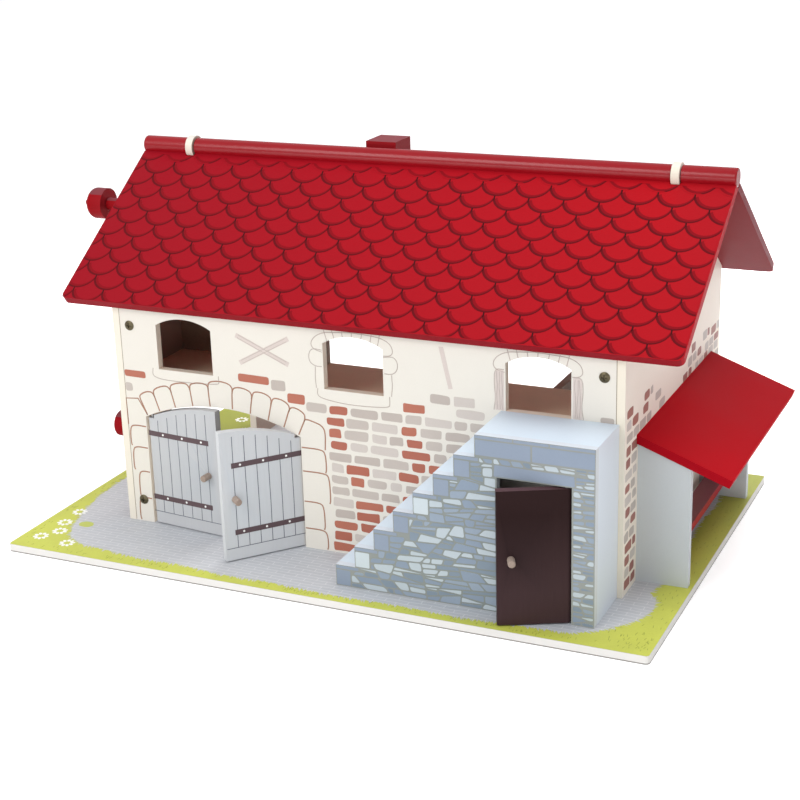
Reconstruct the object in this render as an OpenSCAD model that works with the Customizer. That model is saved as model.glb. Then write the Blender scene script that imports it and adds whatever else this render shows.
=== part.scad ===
// Toy barn with a lifting front roof, arched double doors, an outside
// stair over a small cellar, a lean-to and a hoist on the left gable.
// Sizes are in millimetres. The origin is the middle of the base's underside,
// +X runs along the front wall, +Y to the back and +Z up.

/* [Boards] */
// Thickness of the walls, roofs, doors and panels
board = 6; // [5:0.5:7.5]
// Thickness of the base board
base_t = 6; // [5:0.5:9]
// Radius of the base board's corners
base_corner = 3; // [2:0.5:12]

/* [Yard] */
// Base left of the left gable
yard_left = 61; // [48:1:90]
// Base right of the right gable
yard_right = 41; // [39:1:70]
// Base in front of the front wall
yard_front = 75; // [68:1:110]
// Base behind the gables
yard_rear = 2; // [1:0.5:20]

/* [Barn] */
// Outside length from gable to gable
barn_len = 400; // [396:1:430]
// Depth of the gables
barn_depth = 255; // [250:1:280]
// Height of the gables at the eaves, above the base
eave_h = 176; // [174:1:190]
// Slope of the front roof in degrees
pitch = 34; // [32:0.5:36]
// Slope of the rear roof in degrees
rear_pitch = 35; // [33:0.5:37]

/* [Roofs] */
// Roof past each gable
roof_side = 40; // [25:1:46]
// Front roof past the front wall, measured level
eave_front = 8; // [5:0.1:14]
// Rear roof past the back edge of the gables, measured level
eave_rear = 8; // [5:0.1:14]
// Radius of the roof boards' corners at the eaves
roof_corner = 5; // [2:0.5:9]
// Room between the closed front roof and the gables
roof_rest = 0.3; // [0.2:0.05:0.5]

/* [Ridge] */
// Diameter of the ridge pole
ridge_d = 14; // [12:0.5:15]
// Height of the pole's axis above the meeting line of the gable slopes
ridge_rise = 8.3; // [8:0.1:9.5]
// Diameter of the journals that turn in the gables' eyes
journal_d = 7; // [5.5:0.1:8]
// Outside diameter of the gables' eyes
eye_d = 17.5; // [16.5:0.1:18]
// Width of the neck that carries each eye
eye_neck = 10; // [8:0.5:11]
// Depth of each journal in its end rod
journal_grip = 10; // [6:1:16]

/* [Chimney] */
// Left side of the chimney from the left gable
chimney_x = 151.2; // [120:0.1:200]
// Width of the chimney along the ridge
chimney_w = 24.8; // [20:0.1:34]
// Depth of the chimney
chimney_d = 27.5; // [22:0.5:34]
// Room between the ridge pole and the chimney
chimney_gap = 0.8; // [0.6:0.1:3]
// Top of the chimney above the meeting line of the gable slopes
chimney_rise = 18.6; // [17:0.1:21]

/* [Windows] */
// Middle of an outer window from the outer face of its gable
window_x = 61; // [56:0.5:64]
// Width of a window
window_w = 47; // [40:0.5:52]
// Height of the sills above the base
sill_h = 127; // [125:0.5:130]
// Height of a window's straight sides
window_side = 34.5; // [30:0.5:37]
// Rise of a window's arch
window_rise = 6.3; // [4:0.1:7]

/* [Doorways] */
// Middle of the front doorway from the left gable
arch_x = 88.8; // [86:0.1:96]
// Width of the arched doorways
arch_w = 132.8; // [124:0.1:135]
// Height of the doorways' straight sides
arch_side = 87.5; // [80:0.5:89]
// Rise of the doorways' arches
arch_rise = 14.7; // [10:0.1:16]

/* [Doors] */
// Gap round a closed door
door_gap = 1.2; // [1:0.1:1.6]
// Height of the doors' lower edges above the base
door_lift = 1; // [0.6:0.1:2]
// Diameter of the doors' hinge pins
pin_d = 2.5; // [2:0.1:2.8]
// Depth of a hinge pin in its door
pin_grip = 8; // [5:0.5:12]
// Depth of a hinge pin in the board that holds it
pin_seat = 4; // [3:0.1:4.5]
// Diameter of the door knobs
knob_d = 5.2; // [4.4:0.1:7]
// Length of a knob in front of its door
knob_len = 8; // [6:0.5:10]
// Distance from a knob's middle to its door's free edge
knob_inset = 9.5; // [7:0.5:12]
// Height of the knobs above the base
knob_h = 48.5; // [44:0.5:56]
// Opening angle of the left door as it stands
left_open = 6; // [4:0.5:40]
// Opening angle of the right door as it stands
right_open = 50; // [30:0.5:60]
// Opening angle of the cellar door as it stands
cellar_open = 26; // [10:0.5:60]

/* [Stair] */
// Left end of the stair from the left gable
stair_x = 205.3; // [198:0.1:206]
// Depth of the stair in front of the wall
stair_d = 50; // [44:0.5:54]
// Depth of one step
step_run = 15.28; // [14.6:0.01:15.3]
// Number of steps below the landing
step_count = 7; // [6:1:7]
// Distance from the stair's right end to the right gable's outer face
stair_end = 3.8; // [2:0.1:6]
// Thickness of the risers
riser_t = 3; // [2:0.5:4]
// Thickness of the treads
tread_t = 5; // [4:0.5:6]
// Left side of the cellar doorway from the left gable
cellar_x = 327.8; // [326:0.1:330]
// Width of the cellar doorway
cellar_w = 52.3; // [46:0.1:53]
// Height of the cellar doorway
cellar_h = 98.5; // [90:0.5:104]

/* [Inside] */
// Side of the square corner posts
post = 16; // [12:0.5:18]
// Top of the corner posts below the eaves
post_drop = 6; // [5:0.5:12]
// Depth of the loft floor, from the front wall's outer face
loft_d = 90; // [80:1:100]
// Top of the loft floor below the window sills
loft_drop = 12; // [10:0.5:14]
// Length of the wall at the back of the loft's left room
loft_wall_len = 130; // [110:1:150]
// Height of the wall at the back of the loft's left room
loft_wall_h = 60; // [40:1:64]
// Right face of the stall partition from the left gable
partition_x = 324; // [318:1:340]
// Side of the square floor battens
batten = 8; // [6:0.5:10]

/* [Screws] */
// Diameter of the wall screws' heads
screw_head_d = 7.6; // [6.4:0.1:8.4]
// Diameter of the wall screws' shanks
screw_d = 3.4; // [2.8:0.1:4]
// Length of the wall screws' shanks
screw_len = 18; // [14:0.5:20]
// Distance from a gable's outer face to its screws
screw_inset = 14.4; // [13:0.1:15.5]
// Height of the lower screws above the base
screw_low = 18.2; // [14:0.1:24]
// Height of the upper screws above the base
screw_high = 159; // [150:0.5:160]

/* [Lean-to] */
// Height above the base where the lean-to roof meets the gable
lean_top = 110.6; // [106:0.1:116]
// Slope of the lean-to roof in degrees
lean_pitch = 20.5; // [18:0.5:23]
// Reach of the lean-to roof from the gable, measured level
lean_reach = 67; // [60:0.5:72]
// Front edge of the lean-to roof from the front wall's face
lean_y = 28; // [24:0.5:30]
// Length of the lean-to roof
lean_len = 201; // [196:1:206]
// Front panel of the lean-to from the front wall's face
stall_y = 31.6; // [30.5:0.1:36]
// Clear width of the stall between its two panels
stall_w = 166.7; // [160:0.1:170]
// Depth of the stall panels from the gable
stall_d = 37.5; // [34:0.5:38.5]
// Gap between the gable and the feed board that joins the two panels
manger_gap = 4.7; // [3:0.1:8]
// Width of the feed board
manger_d = 15; // [12:0.5:20]
// Height of the feed board's underside above the base
manger_h = 9; // [6:0.5:16]

/* [Hoist] */
// Height of the hoist's axis above the base
hoist_h = 218.5; // [212:0.5:222]
// Reach of the hoist's wheel from the gable
hoist_reach = 99; // [90:0.5:104]
// Diameter of the hoist arm
hoist_arm_d = 10; // [8:0.5:12]
// Diameter of the hoist wheel
hoist_wheel_d = 25.5; // [22:0.5:30]
// Thickness of the hoist wheel
hoist_wheel_t = 16; // [14:0.5:22]
// Diameter of the pins that carry the wheel and the winch drum
spindle_d = 3.6; // [3:0.1:4.4]
// Diameter of the spindles' heads
spindle_head_d = 5.2; // [5:0.1:7]
// Distance of the winch's axis from the side of the gable's doorway
winch_side = 12.1; // [9:0.1:15]
// Height of the winch above the base
winch_h = 59; // [50:0.5:66]
// Reach of the winch drum from the gable
winch_reach = 35.5; // [30:0.5:44]
// Diameter of the winch drum's discs
winch_d = 21; // [17:0.5:23.5]

/* [Hidden] */

$fn = 64;
running_fit = 0.1;
side_play = 0.8;
slit = 0.6;
over = 1;
cream = "Linen";
roof_red = "Crimson";
shade_red = "FireBrick";
pale_grey = "LightSteelBlue";
raw_board = "RosyBrown";

base_len = yard_left + barn_len + yard_right;
base_w = yard_front + barn_depth + yard_rear;
mid = barn_depth / 2;
apex = eave_h + mid * tan(pitch);
ridge_z = apex + ridge_rise;
rear_top = apex + board / cos(rear_pitch);
front_top = apex + (board + roof_rest) / cos(pitch);
rear_eave_h = apex - mid * tan(rear_pitch);
wall_h = eave_h - 0.5;
post_h = eave_h - post_drop;
loft_top = sill_h - loft_drop;
rise = sill_h / (step_count + 1);
landing_x = stair_x + step_run * step_count;
stair_right = barn_len - stair_end;
door_axis_in = door_gap + board / 2;
leaf_reach = (arch_w - door_gap) / 2 - door_axis_in;
arch_r = (pow(arch_w / 2, 2) + pow(arch_rise, 2)) / (2 * arch_rise);
hinge_top = arch_at(arch_w / 2 - door_axis_in);
heel_top = arch_at(arch_w / 2 - door_gap) - door_gap;
cellar_axis_x = cellar_x + cellar_w - door_axis_in;
cellar_leaf = cellar_w - door_gap - door_axis_in;
bore_d = pin_d + 2 * running_fit;
stall_back = stall_y + board + stall_w;
winch_y = mid - arch_w / 2 - winch_side;

// Height of a doorway's arch at a distance from its middle
function arch_at(x) = arch_side + arch_rise - arch_r + sqrt(pow(arch_r, 2) - pow(x, 2));

// A place on top of the base, measured from the outer left front corner
// of the walls
module in_barn() {
    translate([yard_left - base_len / 2, yard_front - base_w / 2, base_t])
        children();
}

// A flat outline in X and Z, given a thickness towards +Y
module upright_x(t) {
    translate([0, t, 0]) rotate([90, 0, 0]) linear_extrude(t) children();
}

// A flat outline in Y and Z, given a thickness towards +X
module upright_y(t) {
    rotate([90, 0, 90]) linear_extrude(t) children();
}

// A doorway or window outline: straight sides under a flat arch, drawn in
// from its edge by the inset
module arch_outline(w, side, arch_rise, inset = 0) {
    r = (pow(w / 2, 2) + pow(arch_rise, 2)) / (2 * arch_rise);
    intersection() {
        translate([inset - w / 2, 0]) square([w - 2 * inset, side + arch_rise]);
        translate([0, side + arch_rise - r]) circle(r - inset, $fn = 192);
    }
}

module quarter_disc(r) {
    intersection() {
        circle(r);
        square(r);
    }
}

// A rod along +X with a rounded far end
module rod_x(d, len, round = 1) {
    rotate([0, 90, 0]) rotate_extrude() {
        square([d / 2 - round, len]);
        square([d / 2, len - round]);
        translate([d / 2 - round, len - round]) quarter_disc(round);
    }
}

module rounded_plate(l, w, t, r) {
    linear_extrude(t) {
        translate([r, 0]) square([l - 2 * r, w]);
        translate([0, r]) square([l, w - 2 * r]);
        for (x = [r, l - r], y = [r, w - r]) translate([x, y]) circle(r);
    }
}

module door_pin_bores() {
    for (x = [arch_x - arch_w / 2 + door_axis_in, arch_x + arch_w / 2 - door_axis_in])
        translate([x, board / 2, 0]) children();
}

module base_board() {
    color("Gainsboro") difference() {
        translate([-base_len / 2, -base_w / 2, 0])
            rounded_plate(base_len, base_w, base_t, base_corner);
        in_barn() {
            door_pin_bores() translate([0, 0, -pin_seat]) cylinder(d = pin_d, h = pin_seat + over);
            translate([cellar_axis_x, board / 2 - stair_d, -pin_seat])
                cylinder(d = pin_d, h = pin_seat + over);
        }
    }
}

module at_screws() {
    for (x = [screw_inset, barn_len - screw_inset], z = [screw_low, screw_high])
        translate([x, 0, z]) rotate([-90, 0, 0]) children();
}

module front_wall() {
    color(cream) in_barn() difference() {
        upright_x(board) difference() {
            translate([board, 0]) square([barn_len - 2 * board, wall_h]);
            translate([arch_x, 0]) arch_outline(arch_w, arch_side, arch_rise);
            translate([arch_x - arch_w / 2, -over]) square([arch_w, 2 * over]);
            for (x = [window_x, barn_len / 2, barn_len - window_x]) translate([x, sill_h])
                arch_outline(window_w, window_side, window_rise);
        }
        at_screws() translate([0, 0, -over]) cylinder(d = screw_d + 2 * running_fit, h = board + 2 * over);
        door_pin_bores() translate([0, 0, hinge_top - over]) cylinder(d = pin_d, h = pin_seat + over);
    }
}

// Half a house front: walls, slopes and the eye that carries the ridge pole
module gable_outline() {
    polygon([[0, 0], [barn_depth, 0], [barn_depth, rear_eave_h], [mid, apex], [0, eave_h]]);
    translate([mid - eye_neck / 2, apex - eye_neck]) square([eye_neck, eye_neck + ridge_rise]);
    translate([mid, ridge_z]) circle(d = eye_d);
}

module eye_bore() {
    translate([-over, mid, ridge_z]) rotate([0, 90, 0])
        cylinder(d = journal_d + 2 * running_fit, h = board + 2 * over);
}

module left_gable() {
    color(cream) in_barn() difference() {
        upright_y(board) difference() {
            gable_outline();
            translate([mid, 0]) arch_outline(arch_w, arch_side, arch_rise);
            translate([mid - arch_w / 2, -over]) square([arch_w, 2 * over]);
        }
        eye_bore();
        translate([-over, mid, hoist_h]) rotate([0, 90, 0])
            cylinder(d = hoist_arm_d, h = board + 2 * over);
        translate([-over, winch_y, winch_h]) rotate([0, 90, 0])
            cylinder(d = spindle_d, h = board + 2 * over);
    }
}

module right_gable() {
    color(cream) in_barn() translate([barn_len - board, 0, 0]) difference() {
        upright_y(board) gable_outline();
        eye_bore();
    }
}

module corner_post(x) {
    color(raw_board) in_barn() difference() {
        translate([x, board, 0]) cube([post, post, post_h]);
        at_screws() cylinder(d = screw_d, h = screw_len + over / 2);
    }
}

module left_post() {
    corner_post(board);
}

module right_post() {
    corner_post(barn_len - board - post);
}

module wall_screws() {
    head_t = 1.4;
    color("DarkGoldenrod") in_barn() at_screws() difference() {
        union() {
            translate([0, 0, -head_t]) rotate_extrude() intersection() {
                translate([0, screw_head_d]) circle(screw_head_d, $fn = 96);
                square([screw_head_d / 2, head_t]);
            }
            cylinder(d = screw_d, h = screw_len);
        }
        for (a = [0, 90]) rotate([0, 0, a]) translate([-screw_head_d / 4, -0.5, -head_t - over])
            cube([screw_head_d / 2, 1, over + 1.1]);
    }
}

module loft_floor() {
    color(raw_board) in_barn() difference() {
        translate([board, board, loft_top - board])
            cube([barn_len - 2 * board, loft_d - board, board]);
        for (x = [board, barn_len - board - post])
            translate([x, board, loft_top - board - over]) cube([post, post, board + 2 * over]);
    }
}

module floor_battens() {
    color(raw_board) in_barn() for (x = [board, barn_len - board - batten])
        translate([x, board + post, loft_top - board - batten])
            cube([batten, loft_d - board - post, batten]);
}

module loft_back_wall() {
    color("SaddleBrown") in_barn() translate([board, loft_d - board, loft_top])
        cube([loft_wall_len, board, loft_wall_h]);
}

module stall_partition() {
    color("SaddleBrown") in_barn() translate([partition_x - board, 0, 0]) upright_y(board)
        polygon([[board, 0], [barn_depth - board, 0], [barn_depth - board, loft_top],
            [loft_d, loft_top], [loft_d, loft_top - board], [board, loft_top - board]]);
}

module ridge_pole() {
    reach = board + side_play;
    color(roof_red) in_barn() translate([0, mid, ridge_z]) rotate([0, 90, 0]) {
        translate([0, 0, reach]) cylinder(d = ridge_d, h = barn_len - 2 * reach);
        translate([0, 0, -side_play - journal_grip])
            cylinder(d = journal_d, h = barn_len + 2 * (side_play + journal_grip));
    }
}

// One turned rod past a gable, drawn from the gable's outer face outwards
module ridge_end() {
    color(roof_red) difference() {
        translate([side_play, 0, 0]) rod_x(ridge_d, roof_side - side_play, 1.2);
        rotate([0, 90, 0]) cylinder(d = journal_d, h = side_play + journal_grip);
    }
}

module left_ridge_end() {
    in_barn() translate([0, mid, ridge_z]) mirror([1, 0, 0]) ridge_end();
}

module right_ridge_end() {
    in_barn() translate([barn_len, mid, ridge_z]) ridge_end();
}

// A roof board lying on a slope towards the front. Its top passes through the
// ridge at the given height, and it ends at the eave
module roof_board(top, eave, slope) {
    run = (mid + eave) / cos(slope);
    translate([-roof_side, mid, top]) rotate([slope, 0, 0]) translate([0, -run, -board])
        rounded_plate(barn_len + 2 * roof_side, run + 3 * board, board, roof_corner);
}

// The notches that let both eyes and their necks through a roof board
module eye_notches() {
    for (x = [0, barn_len - board]) translate([x - slit, mid, 0]) {
        translate([0, 0, ridge_z]) rotate([0, 90, 0])
            cylinder(d = eye_d + 2 * slit, h = board + 2 * slit);
        translate([0, -eye_neck / 2 - slit, apex - eye_neck])
            cube([board + 2 * slit, eye_neck + 2 * slit, eye_neck + ridge_rise]);
    }
}

module ridge_bore(d) {
    translate([-roof_side - over, mid, ridge_z]) rotate([0, 90, 0])
        cylinder(d = d, h = barn_len + 2 * (roof_side + over));
}

// The room behind the ridge, where a front board ends
module past_ridge() {
    translate([-roof_side - over, mid - running_fit, apex - board])
        cube([barn_len + 2 * (roof_side + over), 5 * board, 8 * board]);
}

module front_roof() {
    color(roof_red) in_barn() difference() {
        roof_board(front_top, eave_front, pitch);
        past_ridge();
        ridge_bore(ridge_d);
        eye_notches();
    }
}

module rear_roof() {
    color(shade_red) in_barn() difference() {
        translate([0, 2 * mid, 0]) mirror([0, 1, 0]) difference() {
            roof_board(rear_top, eave_rear, rear_pitch);
            past_ridge();
        }
        ridge_bore(ridge_d + 2 * slit);
        eye_notches();
    }
}

// Top of the rear roof at a distance from the front wall's face
function roof_at(y) = rear_top - (y - mid) * tan(rear_pitch);

module chimney() {
    y1 = mid + ridge_d / 2 + chimney_gap;
    y2 = y1 + chimney_d;
    color(shade_red) in_barn() translate([chimney_x, 0, 0]) upright_y(chimney_w)
        polygon([[y1, roof_at(y1)], [y2, roof_at(y2)],
            [y2, apex + chimney_rise], [y1, apex + chimney_rise]]);
}

// The closed left door with its hinge axis at the origin. Its heel is cut
// lower than the rest, so that it clears the arch when the door swings out
module door_leaf() {
    difference() {
        intersection() {
            translate([arch_w / 2 - door_axis_in, -board / 2, 0]) upright_x(board)
                arch_outline(arch_w, arch_side, arch_rise, door_gap);
            union() {
                translate([0, -board / 2, door_lift]) cube([leaf_reach, board, arch_side + arch_rise]);
                translate([0, 0, door_lift]) cylinder(d = board, h = arch_side + arch_rise);
            }
        }
        translate([-board, -board, heel_top])
            cube([1.5 * board + slit, 2 * board, arch_side]);
        cylinder(d = bore_d, h = door_lift + pin_grip);
        translate([0, 0, heel_top - pin_grip]) cylinder(d = bore_d, h = pin_grip + over);
        translate([leaf_reach - knob_inset, 0, knob_h]) knob_hole();
    }
}

module knob_hole() {
    rotate([90, 0, 0]) cylinder(d = knob_d - 2, h = board);
}

// A turned knob, standing out of a door towards -Y
module knob() {
    color("Tan") rotate([90, 0, 0]) rotate_extrude() {
        square([knob_d / 2 - 1, board / 2]);
        translate([0, board / 2]) square([knob_d / 2, knob_len - 1]);
        translate([0, board / 2]) square([knob_d / 2 - 1, knob_len]);
        translate([knob_d / 2 - 1, board / 2 + knob_len - 1]) quarter_disc(1);
    }
}

module at_left_hinge() {
    in_barn() translate([arch_x - arch_w / 2 + door_axis_in, board / 2, 0])
        rotate([0, 0, -left_open]) children();
}

module at_right_hinge() {
    in_barn() translate([arch_x + arch_w / 2 - door_axis_in, board / 2, 0])
        rotate([0, 0, right_open]) children();
}

module at_cellar_hinge() {
    in_barn() translate([cellar_axis_x, board / 2 - stair_d, 0])
        rotate([0, 0, cellar_open]) children();
}

module left_door() {
    color("Silver") at_left_hinge() door_leaf();
}

module right_door() {
    color("Silver") at_right_hinge() mirror([1, 0, 0]) door_leaf();
}

module left_door_knob() {
    at_left_hinge() translate([leaf_reach - knob_inset, 0, knob_h]) knob();
}

module right_door_knob() {
    at_right_hinge() translate([knob_inset - leaf_reach, 0, knob_h]) knob();
}

// A pin in the base and a pin over the door, both on the hinge axis
module pin_pair(leaf_top, head) {
    grip = pin_grip - slit;
    color("Silver") {
        translate([0, 0, -pin_seat]) cylinder(d = pin_d, h = pin_seat + door_lift + grip);
        translate([0, 0, leaf_top - grip]) cylinder(d = pin_d, h = grip + head - leaf_top + pin_seat);
    }
}

module left_door_pins() {
    in_barn() translate([arch_x - arch_w / 2 + door_axis_in, board / 2, 0]) pin_pair(heel_top, hinge_top);
}

module right_door_pins() {
    in_barn() translate([arch_x + arch_w / 2 - door_axis_in, board / 2, 0]) pin_pair(heel_top, hinge_top);
}

module stair_front() {
    steps = [for (k = [0:step_count], top = [0, 1]) [stair_x + k * step_run, (k + top) * rise]];
    color(pale_grey) in_barn() difference() {
        translate([0, -stair_d, 0]) upright_x(board) difference() {
            polygon(concat(steps, [[stair_right, sill_h], [stair_right, 0]]));
            translate([cellar_x, -over]) square([cellar_w, cellar_h + over]);
        }
        translate([cellar_axis_x, board / 2 - stair_d, cellar_h - over])
            cylinder(d = pin_d, h = pin_seat + over);
    }
}

module stair_treads() {
    color(pale_grey) in_barn() for (k = [0:step_count - 1])
        translate([stair_x + k * step_run, board - stair_d, (k + 1) * rise - tread_t])
            cube([step_run + riser_t, stair_d - board, tread_t]);
}

module stair_risers() {
    color(pale_grey) in_barn() for (k = [0:step_count])
        translate([stair_x + k * step_run, board - stair_d, k * rise])
            cube([riser_t, stair_d - board, rise - (k < step_count ? tread_t : board)]);
}

module stair_landing() {
    color(pale_grey) in_barn() translate([landing_x, board - stair_d, sill_h - board])
        cube([stair_right - landing_x, stair_d - board, board]);
}

module stair_side() {
    color(pale_grey) in_barn() translate([stair_right - board, board - stair_d, 0])
        cube([board, stair_d - board, sill_h - board]);
}

module cellar_door() {
    leaf_top = cellar_h - door_gap;
    color("Black") at_cellar_hinge() difference() {
        union() {
            translate([-cellar_leaf, -board / 2, door_lift]) cube([cellar_leaf, board, leaf_top - door_lift]);
            translate([0, 0, door_lift]) cylinder(d = board, h = leaf_top - door_lift);
        }
        cylinder(d = bore_d, h = door_lift + pin_grip);
        translate([0, 0, leaf_top - pin_grip]) cylinder(d = bore_d, h = pin_grip + over);
        translate([knob_inset - cellar_leaf, 0, knob_h]) knob_hole();
    }
}

module cellar_door_knob() {
    at_cellar_hinge() translate([knob_inset - cellar_leaf, 0, knob_h]) knob();
}

module cellar_door_pins() {
    in_barn() translate([cellar_axis_x, board / 2 - stair_d, 0]) pin_pair(cellar_h - door_gap, cellar_h);
}

// Underside of the lean-to roof at a distance from the gable
function lean_under(x) = lean_top - board / cos(lean_pitch) - x * tan(lean_pitch);

module lean_to_roof() {
    drop = lean_reach * tan(lean_pitch);
    color(shade_red) in_barn() translate([barn_len, lean_y, 0]) upright_x(lean_len)
        polygon([[0, lean_top], [0, lean_under(0)],
            [lean_reach - board * sin(lean_pitch), lean_top - drop - board * cos(lean_pitch)],
            [lean_reach, lean_top - drop]]);
}

module stall_panel(y) {
    color(pale_grey) in_barn() translate([barn_len, y, 0]) upright_x(board)
        polygon([[0, 0], [stall_d, 0], [stall_d, lean_under(stall_d)], [0, lean_under(0)]]);
}

module lean_to_front_panel() {
    stall_panel(stall_y);
}

module lean_to_rear_panel() {
    stall_panel(stall_back);
}

module manger() {
    color(shade_red) in_barn() translate([barn_len + manger_gap, stall_y + board, manger_h])
        cube([manger_d, stall_w, board]);
}

module hoist_arm() {
    inner = hoist_reach - hoist_wheel_t - running_fit;
    color(shade_red) in_barn() translate([board, mid, hoist_h]) mirror([1, 0, 0]) difference() {
        rod_x(hoist_arm_d, board + inner, 0.8);
        translate([board + inner - journal_grip, 0, 0]) rotate([0, 90, 0])
            cylinder(d = spindle_d, h = journal_grip + over);
    }
}

// A turned wheel along -X from its inner face, domed outside and bored
module hoist_wheel() {
    dome = 6;
    color(shade_red) in_barn() translate([hoist_wheel_t - hoist_reach, mid, hoist_h])
        rotate([0, -90, 0]) rotate_extrude() difference() {
            union() {
                square([hoist_wheel_d / 2 - dome, hoist_wheel_t]);
                square([hoist_wheel_d / 2, hoist_wheel_t - dome]);
                translate([hoist_wheel_d / 2 - dome, hoist_wheel_t - dome]) quarter_disc(dome);
            }
            translate([0, -over]) square([spindle_d / 2 + running_fit, hoist_wheel_t + 2 * over]);
        }
}

module hoist_spindle() {
    head_t = 5.5;
    color("Maroon") in_barn() translate([-hoist_reach - running_fit, mid, hoist_h]) {
        rotate([0, 90, 0]) cylinder(d = spindle_d, h = hoist_wheel_t + 2 * running_fit + journal_grip);
        mirror([1, 0, 0]) rod_x(spindle_head_d, head_t, 1.2);
    }
}

// A spool on its side: an outer disc, a waist and a thin inner disc
module winch_drum() {
    disc_t = 9;
    flange_t = 3;
    dome = 1.5;
    play = 0.4;
    recess = 2.5;
    far = winch_reach - play;
    color(shade_red) in_barn() translate([-play, winch_y, winch_h]) rotate([0, -90, 0])
        rotate_extrude() difference() {
            union() {
                square([winch_d / 2, flange_t]);
                square([winch_d * 0.3, far]);
                translate([0, far - disc_t]) square([winch_d / 2, disc_t - dome]);
                translate([0, far - dome]) square([winch_d / 2 - dome, dome]);
                translate([winch_d / 2 - dome, far - dome]) quarter_disc(dome);
            }
            translate([0, -over]) square([spindle_d / 2 + running_fit, far]);
            translate([0, far - recess]) square([spindle_head_d / 2 + running_fit, recess + over]);
        }
}

module winch_spindle() {
    head_t = 2;
    len = board + winch_reach - 0.2;
    color("Maroon") in_barn() translate([board, winch_y, winch_h]) rotate([0, -90, 0]) {
        cylinder(d = spindle_d, h = len);
        translate([0, 0, len - head_t]) cylinder(d = spindle_head_d, h = head_t);
    }
}

base_board();
front_wall();
left_gable();
right_gable();
left_post();
right_post();
wall_screws();
loft_floor();
floor_battens();
loft_back_wall();
stall_partition();
ridge_pole();
left_ridge_end();
right_ridge_end();
front_roof();
rear_roof();
chimney();
left_door();
right_door();
left_door_knob();
right_door_knob();
left_door_pins();
right_door_pins();
stair_front();
stair_treads();
stair_risers();
stair_landing();
stair_side();
cellar_door();
cellar_door_knob();
cellar_door_pins();
lean_to_roof();
lean_to_front_panel();
lean_to_rear_panel();
manger();
hoist_arm();
hoist_wheel();
hoist_spindle();
winch_drum();
winch_spindle();
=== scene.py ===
import bpy
import math
import random
from mathutils import Matrix, Vector


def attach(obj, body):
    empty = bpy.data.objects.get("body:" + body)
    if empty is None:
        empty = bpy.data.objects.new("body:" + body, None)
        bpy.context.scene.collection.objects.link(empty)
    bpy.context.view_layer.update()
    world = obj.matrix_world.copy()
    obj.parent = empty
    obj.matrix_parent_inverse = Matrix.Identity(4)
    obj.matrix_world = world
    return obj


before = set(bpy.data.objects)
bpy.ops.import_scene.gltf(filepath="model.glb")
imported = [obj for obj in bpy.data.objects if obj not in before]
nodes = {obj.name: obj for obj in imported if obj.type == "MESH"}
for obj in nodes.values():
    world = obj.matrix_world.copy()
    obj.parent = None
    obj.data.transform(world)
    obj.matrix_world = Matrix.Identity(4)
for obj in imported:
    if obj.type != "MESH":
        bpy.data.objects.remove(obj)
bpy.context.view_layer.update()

# Barn places: millimetres from the outer left front corner of the walls, on top of the base
board = 6.0
barnLen = 400.0
barnDepth = 255.0
wallHeight = 176.0
roofSlope = math.radians(34)
rearSlope = math.radians(35)
roofTop = 6.3
eaveOut = 8.0
stairFront = -50.0
toMetres = Matrix.Scale(0.001, 4)
xAxis = Vector((1, 0, 0))
yAxis = Vector((0, 1, 0))
zAxis = Vector((0, 0, 1))


def barn(x, y, z):
    return Vector((x - 190.0, y - 91.0, z + 6.0))


def srgb(r, g, b):
    def toLinear(c):
        c = c / 255.0
        return c / 12.92 if c <= 0.04045 else ((c + 0.055) / 1.055) ** 2.4
    return (toLinear(r), toLinear(g), toLinear(b), 1.0)


# ---- camera, floor and light ----

def makeCamera():
    view = {"place": (511.2, -1092.4, 515.2), "azimuth": 24.914, "elevation": 19.152, "roll": -1.7506,
            "focalPixels": 1662.78, "imagePixels": 800.0}
    az = math.radians(view["azimuth"])
    el = math.radians(view["elevation"])
    roll = math.radians(view["roll"])
    back = Vector((math.sin(az) * math.cos(el), -math.cos(az) * math.cos(el), math.sin(el)))
    right = (-back).cross(zAxis).normalized()
    up = right.cross(-back).normalized()
    turnedRight = math.cos(roll) * right + math.sin(roll) * up
    turnedUp = -math.sin(roll) * right + math.cos(roll) * up
    data = bpy.data.cameras.new("photo_camera")
    data.sensor_width = 36.0
    data.lens = view["focalPixels"] * data.sensor_width / view["imagePixels"]
    data.clip_start = 0.01
    data.clip_end = 20.0
    camera = bpy.data.objects.new("photo_camera", data)
    bpy.context.scene.collection.objects.link(camera)
    turn = Matrix((turnedRight, turnedUp, back)).transposed().to_4x4()
    camera.matrix_world = Matrix.Translation(Vector(view["place"]) * 0.001) @ turn
    bpy.context.scene.camera = camera


def makeFloor():
    studio = {"half": 6.0, "white": (0.95, 0.95, 0.95, 1), "rough": 0.9, "shine": 0.1, "glow": 0.32}
    half = studio["half"]
    corners = [(-half, -half, 0), (half, -half, 0), (half, half, 0), (-half, half, 0)]
    mesh = bpy.data.meshes.new("studio_floor")
    mesh.from_pydata(corners, [], [(0, 1, 2, 3)])
    floor = bpy.data.objects.new("studio_floor", mesh)
    bpy.context.scene.collection.objects.link(floor)
    mat = bpy.data.materials.new("floor_white")
    mat.use_nodes = True
    tree = mat.node_tree
    bsdf = tree.nodes["Principled BSDF"]
    bsdf.inputs["Base Color"].default_value = studio["white"]
    bsdf.inputs["Roughness"].default_value = studio["rough"]
    bsdf.inputs["Specular IOR Level"].default_value = studio["shine"]
    bsdf.inputs["Emission Color"].default_value = (1, 1, 1, 1)
    # paper white for the camera, without lighting the barn from below
    path = tree.nodes.new("ShaderNodeLightPath")
    glow = tree.nodes.new("ShaderNodeMath")
    glow.operation = "MULTIPLY"
    glow.inputs[1].default_value = studio["glow"]
    tree.links.new(path.outputs["Is Camera Ray"], glow.inputs[0])
    tree.links.new(glow.outputs[0], bsdf.inputs["Emission Strength"])
    mesh.materials.append(mat)


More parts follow.
